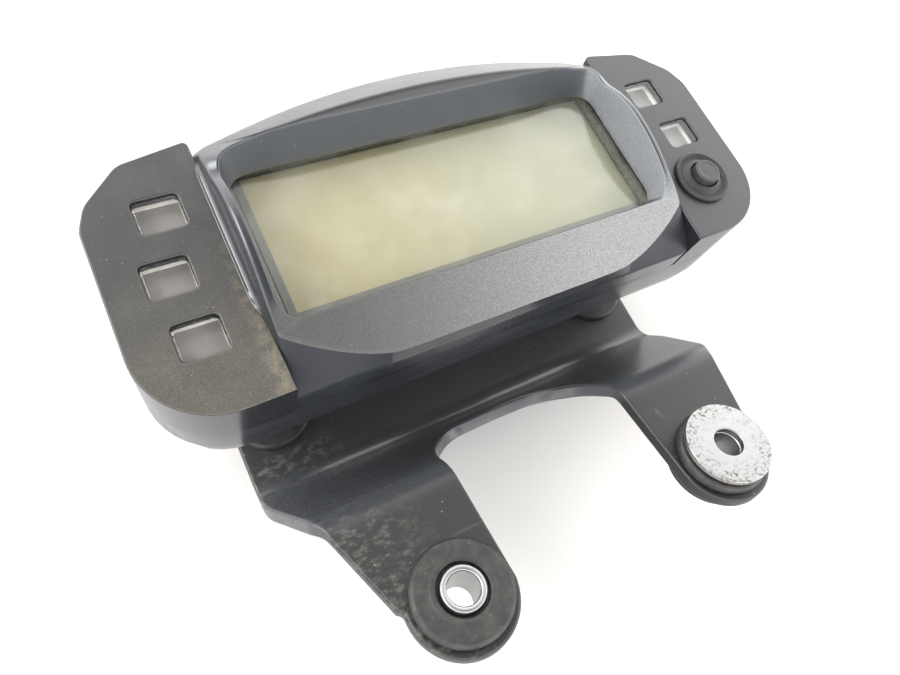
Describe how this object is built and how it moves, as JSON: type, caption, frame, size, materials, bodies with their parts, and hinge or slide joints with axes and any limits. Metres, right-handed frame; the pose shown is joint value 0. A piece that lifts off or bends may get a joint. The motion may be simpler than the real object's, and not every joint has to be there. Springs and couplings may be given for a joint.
{
  "type": "motorcycle instrument cluster",
  "caption": "Digital motorcycle dash with a hooded liquid crystal display, warning-light windows on side wings and a push button, rubber-mounted on a moulded bracket.",
  "frame": {"origin": "centre of the bounding box in X and Y, at the lowest screw heads in Z", "axes": "+X to the rider's right along the display's width, +Y up the display, away from the bracket's arms, +Z out of the display face"},
  "size_m": [0.1486, 0.1212, 0.0679],
  "materials": {
    "black_plastic": "satin moulded, fine grain",
    "grained_black_plastic": "coarse grained glass-filled nylon",
    "rubber": "matt",
    "clear_lens": "clear, lightly scuffed",
    "smoked_lens": "smoked translucent",
    "lcd_glass": "unlit liquid crystal, grey-green",
    "milky_acrylic": "milky",
    "white_plastic": "white moulded",
    "board_green": "solder resist over fibreglass",
    "chip_black": "moulded",
    "aluminium": "drawn can",
    "steel": "plain",
    "zinc_plated_steel": "bright zinc, rust specks"
  },
  "bodies": {
    "housing": {"arm_collar_left": "zinc_plated_steel", "arm_collar_right": "zinc_plated_steel", "arm_grommet_left": "rubber", "arm_grommet_right": "rubber", "arm_washer_right": "zinc_plated_steel", "backlight_led_left": "white_plastic", "backlight_led_right": "white_plastic", "bracket": "grained_black_plastic", "button_boot": "rubber", "capacitor_1": "aluminium", "capacitor_2": "aluminium", "case_screw_left_lower": "steel", "case_screw_left_upper": "steel", "case_screw_right_lower": "steel", "case_screw_right_upper": "steel", "case_seal": "rubber", "circuit_board": "board_green", "connector_pins": "chip_black", "connector_socket": "chip_black", "damper_left": "rubber", "damper_right": "rubber", "damper_screw_left": "steel", "damper_screw_right": "steel", "damper_screw_top": "steel", "damper_sleeve_left": "zinc_plated_steel", "damper_sleeve_right": "zinc_plated_steel", "damper_sleeve_top": "zinc_plated_steel", "damper_top": "rubber", "damper_washer_left": "zinc_plated_steel", "damper_washer_right": "zinc_plated_steel", "damper_washer_top": "zinc_plated_steel", "display_lens": "clear_lens", "elastomer_strip_lower": "rubber", "elastomer_strip_upper": "rubber", "front_case": "black_plastic", "lcd_holder": "white_plastic", "lcd_panel": "lcd_glass", "light_baffle_left": "white_plastic", "light_baffle_right": "white_plastic", "light_guide": "milky_acrylic", "microcontroller": "chip_black", "quartz_crystal": "zinc_plated_steel", "rear_case": "black_plastic", "switch_body": "chip_black", "telltale_led_left_1": "white_plastic", "telltale_led_left_2": "white_plastic", "telltale_led_left_3": "white_plastic", "telltale_led_right_1": "white_plastic", "telltale_led_right_2": "white_plastic", "telltale_lens_left": "smoked_lens", "telltale_lens_right": "smoked_lens"},
    "button": {"button_cap": "rubber"},
    "plunger": {"switch_plunger": "white_plastic"}
  },
  "joints": [
    {"name": "button_press", "type": "slide", "parent": "housing", "child": "button", "axis": [0, 0, -1], "range_m": [0, 0.0008], "stiffness_N_per_m": 2500},
    {"name": "plunger_press", "type": "slide", "parent": "housing", "child": "plunger", "axis": [0, 0, -1], "range_m": [0, 0.0008], "stiffness_N_per_m": 1500}
  ],
  "couplings": [
    {"joint": "plunger_press", "follows": "button_press", "ratio": 1}
  ]
}
